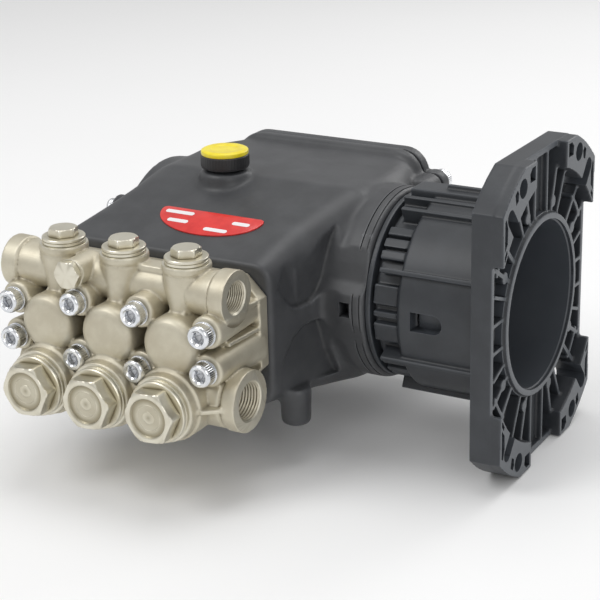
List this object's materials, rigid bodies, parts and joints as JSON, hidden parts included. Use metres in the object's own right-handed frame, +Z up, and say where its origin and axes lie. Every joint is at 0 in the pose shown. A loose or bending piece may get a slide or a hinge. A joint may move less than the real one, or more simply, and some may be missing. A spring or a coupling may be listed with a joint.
{
  "type": "pressure washer pump",
  "caption": "Plunger pump with a plated brass manifold head, black crankcase and ribbed bell housing that bolts to an engine.",
  "frame": {"origin": "crankshaft axis where it crosses the engine mating face of the bell flange", "axes": "+X along the crankshaft towards the engine, +Y towards the rear cover, away from the manifold head, +Z up"},
  "size_m": [0.2743, 0.254, 0.1786],
  "materials": {
    "black_cast_aluminium": "satin black coat on die-cast aluminium",
    "black_bell_casting": "black coat, machined lands",
    "nickel_plated_brass": "nickel-plated forged brass, satin",
    "bright_zinc": "bright zinc-plated steel",
    "machined_steel": "ground steel",
    "machined_aluminium": "machined aluminium",
    "white_ceramic": "polished ceramic",
    "black_rubber": "matt rubber",
    "black_plastic": "moulded black plastic",
    "yellow_plastic": "moulded yellow plastic",
    "red_name_plate": "printed red plate",
    "sight_glass": "clear window with oil behind"
  },
  "bodies": {
    "pump_body": {"bearing_cover": "black_cast_aluminium", "bearing_cover_screw_1": "bright_zinc", "bearing_cover_screw_2": "bright_zinc", "bearing_cover_screw_3": "bright_zinc", "bearing_left": "machined_steel", "bearing_right": "machined_steel", "bell_housing": "black_bell_casting", "crankcase": "black_cast_aluminium", "delivery_plug_1": "nickel_plated_brass", "delivery_plug_2": "nickel_plated_brass", "delivery_plug_3": "nickel_plated_brass", "drain_plug": "bright_zinc", "gauge_plug": "nickel_plated_brass", "head_screw_1": "bright_zinc", "head_screw_2": "bright_zinc", "head_screw_3": "bright_zinc", "head_screw_4": "bright_zinc", "head_screw_5": "bright_zinc", "head_screw_6": "bright_zinc", "head_screw_7": "bright_zinc", "head_screw_8": "bright_zinc", "manifold_head": "nickel_plated_brass", "name_plate": "red_name_plate", "oil_cap": "black_plastic", "oil_cap_disc": "yellow_plastic", "rear_cover": "black_cast_aluminium", "rear_cover_gasket": "black_rubber", "rear_cover_screw_1": "bright_zinc", "rear_cover_screw_2": "bright_zinc", "rear_cover_screw_3": "bright_zinc", "rear_cover_screw_4": "bright_zinc", "seal_pack_1": "black_rubber", "seal_pack_2": "black_rubber", "seal_pack_3": "black_rubber", "shaft_seal": "black_rubber", "sight_glass": "sight_glass", "suction_cap_1": "nickel_plated_brass", "suction_cap_2": "nickel_plated_brass", "suction_cap_3": "nickel_plated_brass"},
    "crankshaft": {"crankshaft": "machined_steel", "shaft_key": "machined_steel", "coupling_hub": "machined_steel"},
    "con_rod_1": {"con_rod_1": "machined_aluminium", "wrist_pin_1": "machined_steel"},
    "plunger_1": {"plunger_guide_1": "machined_steel", "ceramic_plunger_1": "white_ceramic"},
    "suction_valve_1": {"suction_valve_1": "machined_steel"},
    "delivery_valve_1": {"delivery_valve_1": "machined_steel"},
    "con_rod_2": {"con_rod_2": "machined_aluminium", "wrist_pin_2": "machined_steel"},
    "plunger_2": {"plunger_guide_2": "machined_steel", "ceramic_plunger_2": "white_ceramic"},
    "suction_valve_2": {"suction_valve_2": "machined_steel"},
    "delivery_valve_2": {"delivery_valve_2": "machined_steel"},
    "con_rod_3": {"con_rod_3": "machined_aluminium", "wrist_pin_3": "machined_steel"},
    "plunger_3": {"plunger_guide_3": "machined_steel", "ceramic_plunger_3": "white_ceramic"},
    "suction_valve_3": {"suction_valve_3": "machined_steel"},
    "delivery_valve_3": {"delivery_valve_3": "machined_steel"}
  },
  "joints": [
    {"name": "crankshaft_spin", "type": "hinge", "parent": "pump_body", "child": "crankshaft", "pos_m": [0, 0, 0], "axis": [1, 0, 0], "continuous": true},
    {"name": "con_rod_1_big_end", "type": "hinge", "parent": "crankshaft", "child": "con_rod_1", "pos_m": [-0.2356, 0, 0.0045], "axis": [1, 0, 0], "continuous": true},
    {"name": "plunger_1_stroke", "type": "slide", "parent": "pump_body", "child": "plunger_1", "axis": [0, 1, 0], "range_m": [-0.0045, 0.0045]},
    {"name": "suction_valve_1_lift", "type": "slide", "parent": "pump_body", "child": "suction_valve_1", "axis": [0, -1, 0], "range_m": [0, 0.003], "stiffness_N_per_m": 300, "springref_m": -0.003},
    {"name": "delivery_valve_1_lift", "type": "slide", "parent": "pump_body", "child": "delivery_valve_1", "axis": [0, 0, 1], "range_m": [0, 0.003], "stiffness_N_per_m": 300, "springref_m": -0.003},
    {"name": "con_rod_2_big_end", "type": "hinge", "parent": "crankshaft", "child": "con_rod_2", "pos_m": [-0.1956, -0.0039, -0.00225], "axis": [1, 0, 0], "continuous": true},
    {"name": "plunger_2_stroke", "type": "slide", "parent": "pump_body", "child": "plunger_2", "axis": [0, 1, 0], "range_m": [-0.0006, 0.0084]},
    {"name": "suction_valve_2_lift", "type": "slide", "parent": "pump_body", "child": "suction_valve_2", "axis": [0, -1, 0], "range_m": [0, 0.003], "stiffness_N_per_m": 300, "springref_m": -0.003},
    {"name": "delivery_valve_2_lift", "type": "slide", "parent": "pump_body", "child": "delivery_valve_2", "axis": [0, 0, 1], "range_m": [0, 0.003], "stiffness_N_per_m": 300, "springref_m": -0.003},
    {"name": "con_rod_3_big_end", "type": "hinge", "parent": "crankshaft", "child": "con_rod_3", "pos_m": [-0.1556, 0.0039, -0.00225], "axis": [1, 0, 0], "continuous": true},
    {"name": "plunger_3_stroke", "type": "slide", "parent": "pump_body", "child": "plunger_3", "axis": [0, 1, 0], "range_m": [-0.0084, 0.0006]},
    {"name": "suction_valve_3_lift", "type": "slide", "parent": "pump_body", "child": "suction_valve_3", "axis": [0, -1, 0], "range_m": [0, 0.003], "stiffness_N_per_m": 300, "springref_m": -0.003},
    {"name": "delivery_valve_3_lift", "type": "slide", "parent": "pump_body", "child": "delivery_valve_3", "axis": [0, 0, 1], "range_m": [0, 0.003], "stiffness_N_per_m": 300, "springref_m": -0.003}
  ],
  "couplings": [
    {"joint": "con_rod_1_big_end", "follows": "crankshaft_spin", "ratio": -1},
    {"joint": "con_rod_2_big_end", "follows": "crankshaft_spin", "ratio": -1},
    {"joint": "con_rod_3_big_end", "follows": "crankshaft_spin", "ratio": -1}
  ]
}
